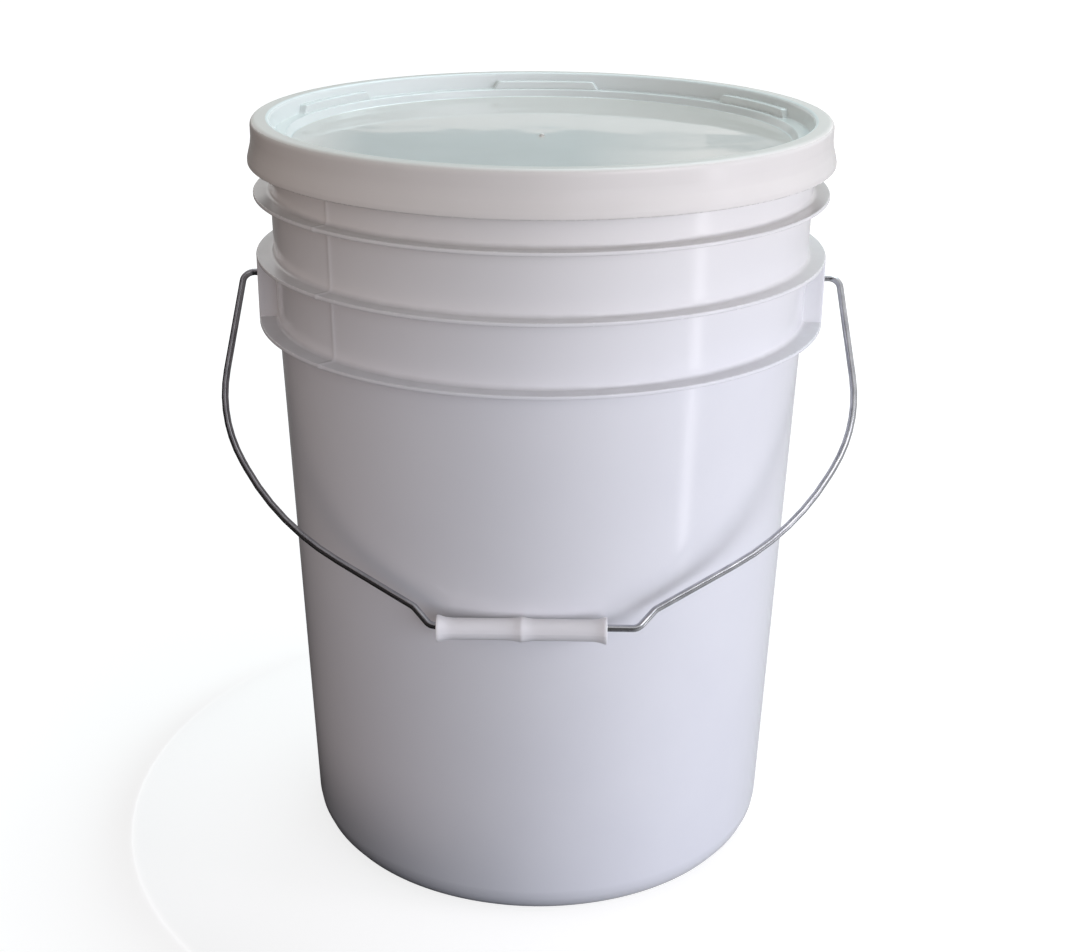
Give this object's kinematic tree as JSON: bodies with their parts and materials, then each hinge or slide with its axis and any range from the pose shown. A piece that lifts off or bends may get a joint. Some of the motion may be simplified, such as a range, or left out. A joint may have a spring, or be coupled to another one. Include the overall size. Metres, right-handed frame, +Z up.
{
  "type": "lidded pail",
  "caption": "White plastic pail with flange rings under the rim, a recessed push-fit lid with a seal, and a swinging wire bail with a roller grip.",
  "frame": {"origin": "centre of the pail's foot, on the surface it stands on", "axes": "+Z up along the pail's axis, X through the two ears, and the bail hangs towards -Y"},
  "size_m": [0.3306, 0.304, 0.407],
  "materials": {
    "pail_plastic": "white polyethylene, satin gloss",
    "lid_plastic": "white polyethylene, satin gloss",
    "gasket_rubber": "grey seal rubber",
    "bail_steel": "bright zinc-plated wire",
    "grip_plastic": "off-white moulded plastic"
  },
  "bodies": {
    "pail": {"pail_body": "pail_plastic"},
    "lid": {"lid": "lid_plastic", "lid_gasket": "gasket_rubber"},
    "bail": {"bail_wire": "bail_steel"},
    "grip": {"handle_grip": "grip_plastic"}
  },
  "joints": [
    {"name": "bail_swing", "type": "hinge", "parent": "pail", "child": "bail", "pos_m": [0, 0, 0.3205], "axis": [-1, 0, 0], "range_deg": [0, 268]},
    {"name": "grip_roll", "type": "hinge", "parent": "bail", "child": "grip", "pos_m": [0, -0.14251, 0.18006], "axis": [1, 0, 0], "continuous": true},
    {"name": "lid_lift", "type": "slide", "parent": "pail", "child": "lid", "axis": [0, 0, 1], "range_m": [0, 0.15]}
  ]
}
